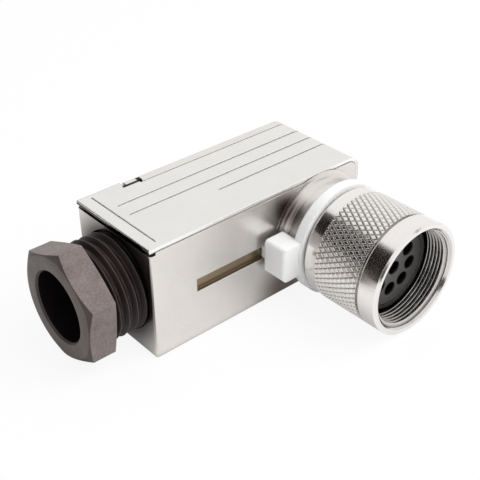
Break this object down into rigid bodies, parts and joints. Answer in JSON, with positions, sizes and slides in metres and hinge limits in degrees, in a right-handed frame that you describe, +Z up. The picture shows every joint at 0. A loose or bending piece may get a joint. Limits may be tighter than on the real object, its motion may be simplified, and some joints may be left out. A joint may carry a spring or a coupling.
{
  "type": "right-angle circular cable connector",
  "caption": "Right-angle cable connector: plated box housing with a hinged sheet cover, a threaded coupling ring around a socket insert, an index ring and a hollow hexagonal gland screw.",
  "frame": {"origin": "centre of the box housing's flat bottom face", "axes": "+X along the box, away from the cable gland; -Y the way the coupling ring points; +Z up"},
  "size_m": [0.0529, 0.0391, 0.0193],
  "materials": {
    "nickel_case": "satin nickel plate on a die casting",
    "nickel_sheet": "satin nickel plate on formed sheet",
    "nickel_ring": "bright nickel plate, knurled band",
    "nickel_sleeve": "bright nickel plate",
    "white_plastic": "satin, slightly translucent",
    "dark_insert": "satin moulded",
    "spring_steel": "plain",
    "gland_plastic": "satin, fine mottle",
    "washer_steel": "plain",
    "seal_rubber": "matte",
    "contact_metal": "silver plate"
  },
  "bodies": {
    "housing": {"body_shell": "nickel_case", "shield_sleeve": "nickel_sleeve", "index_ring": "white_plastic", "contact_insert": "dark_insert", "contact_carrier": "dark_insert", "insert_retainer": "dark_insert", "friction_washer": "spring_steel", "retaining_ring": "spring_steel", "seat_washer": "washer_steel", "cable_seal": "seal_rubber", "contact_1": "contact_metal", "contact_2": "contact_metal", "contact_3": "contact_metal", "contact_4": "contact_metal", "contact_5": "contact_metal", "contact_6": "contact_metal", "contact_7": "contact_metal", "contact_8": "contact_metal"},
    "cover": {"cover": "nickel_sheet"},
    "coupling_ring": {"coupling_ring": "nickel_ring"},
    "thrust_washer": {"thrust_washer": "washer_steel"},
    "gland_screw": {"gland_screw": "gland_plastic"}
  },
  "joints": [
    {"name": "cover_hinge", "type": "hinge", "parent": "housing", "child": "cover", "pos_m": [0.0197, 0, 0.0014], "axis": [0, 1, 0], "range_deg": [0, 50]},
    {"name": "coupling_ring_turn", "type": "hinge", "parent": "housing", "child": "coupling_ring", "pos_m": [0.012, -0.02, 0.00965], "axis": [0, -1, 0], "continuous": true},
    {"name": "washer_travel", "type": "slide", "parent": "housing", "child": "thrust_washer", "axis": [-1, 0, 0], "range_m": [-0.00451, 0.00451]},
    {"name": "gland_screw_turn", "type": "hinge", "parent": "thrust_washer", "child": "gland_screw", "pos_m": [-0.0211, 0, 0.00965], "axis": [-1, 0, 0], "range_deg": [-1080, 1080]}
  ],
  "couplings": [
    {"joint": "washer_travel", "follows": "gland_screw_turn", "m_per_rad": 0.00023873}
  ]
}
